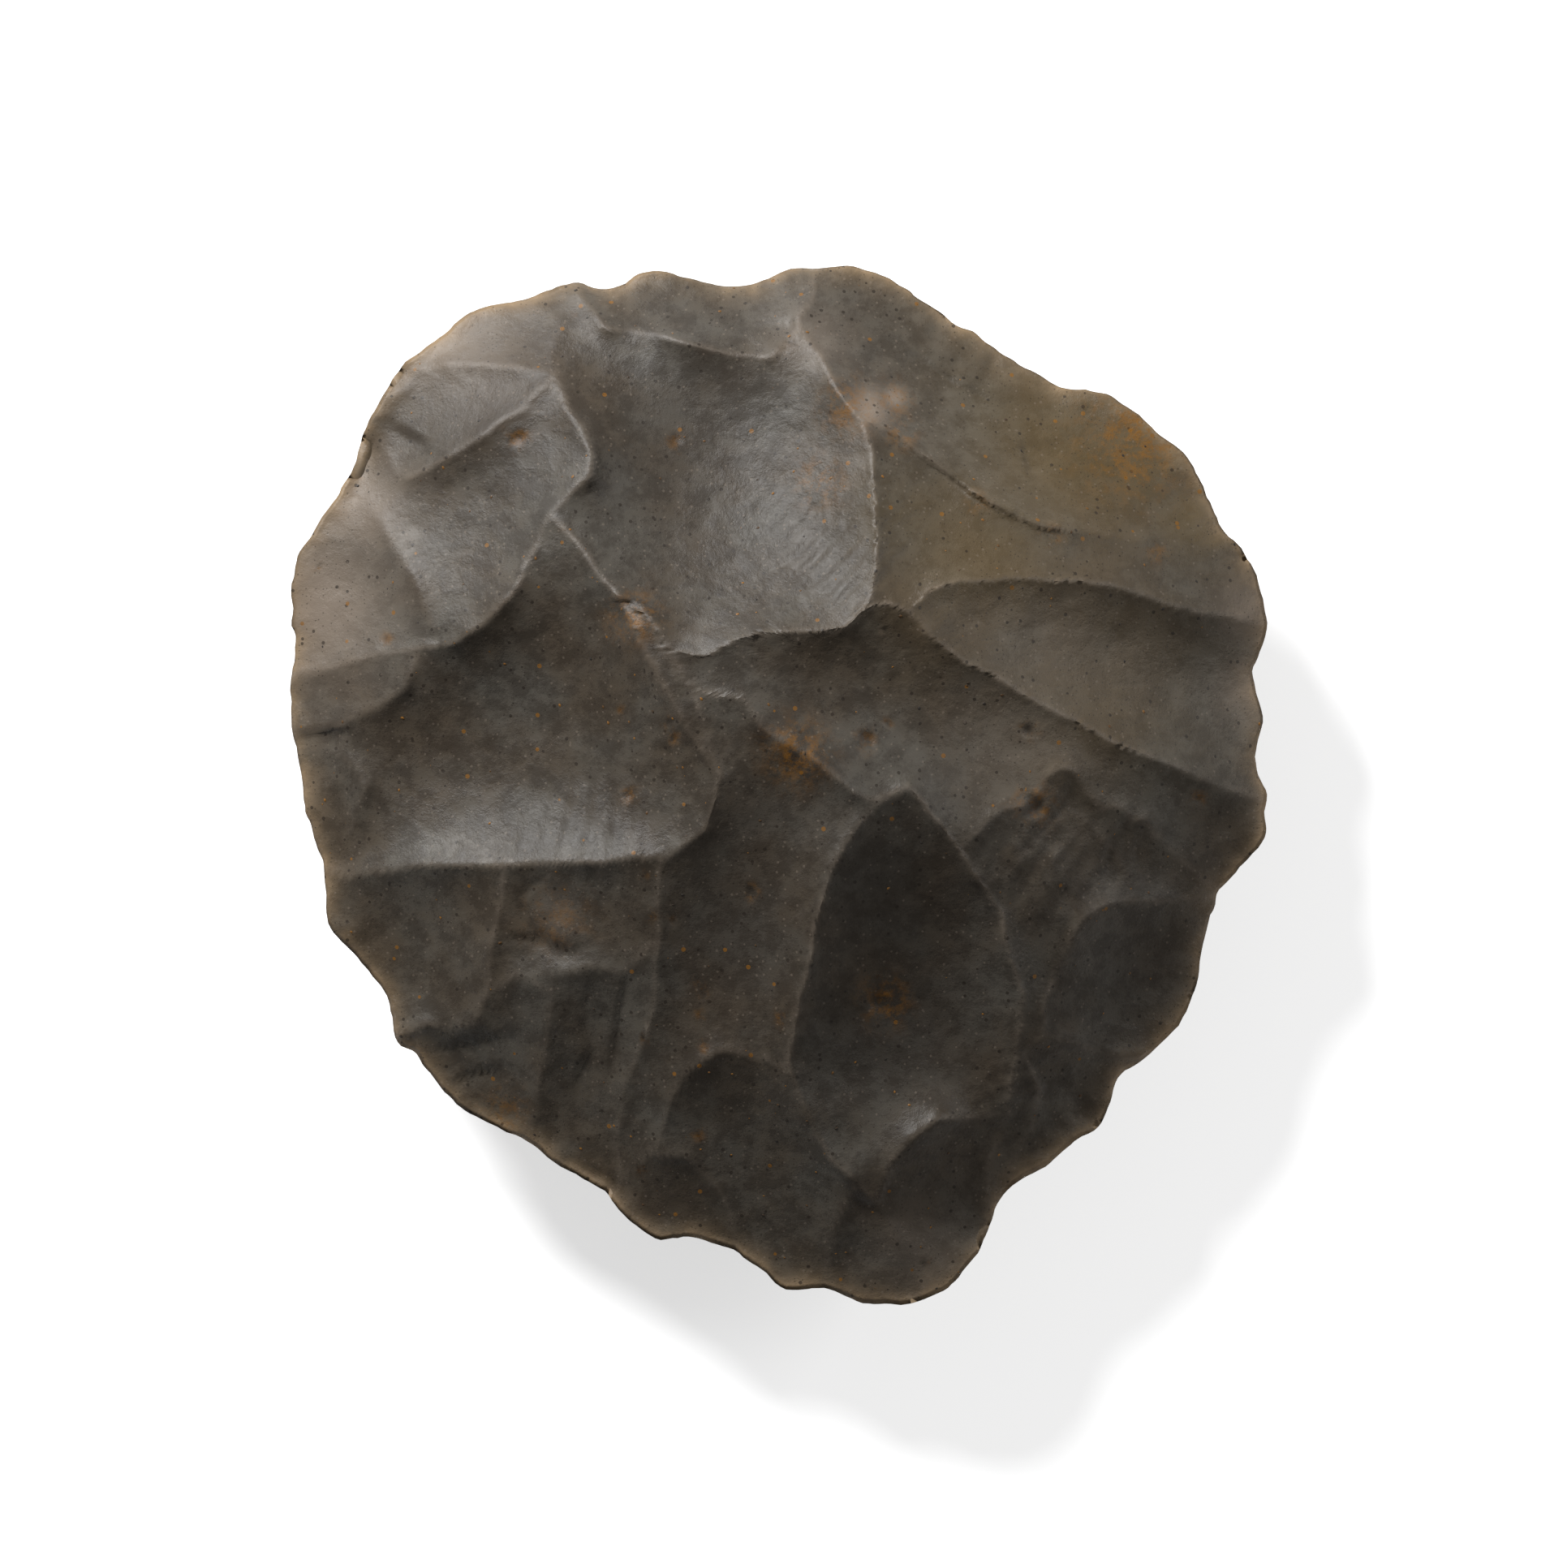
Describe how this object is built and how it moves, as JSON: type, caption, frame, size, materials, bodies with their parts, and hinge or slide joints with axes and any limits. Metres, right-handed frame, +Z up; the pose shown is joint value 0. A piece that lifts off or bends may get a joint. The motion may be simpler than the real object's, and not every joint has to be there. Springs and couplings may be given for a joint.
{
  "type": "flint hand axe",
  "caption": "Ovate hand axe of knapped grey-brown flint: a thick lens flaked over both faces to a sharp sinuous edge all round, held in the hand to cut and chop.",
  "frame": {"origin": "centre of the bounding box in plan, on the surface that the stone lies on", "axes": "+Z up out of the upper flaked face, +Y from the tip to the broad end, +X to the right seen from above"},
  "size_m": [0.0986, 0.1048, 0.0327],
  "materials": {
    "flint": "satin, waxy flaked flint"
  },
  "bodies": {
    "root": {"hand_axe": "flint"}
  },
  "joints": []
}
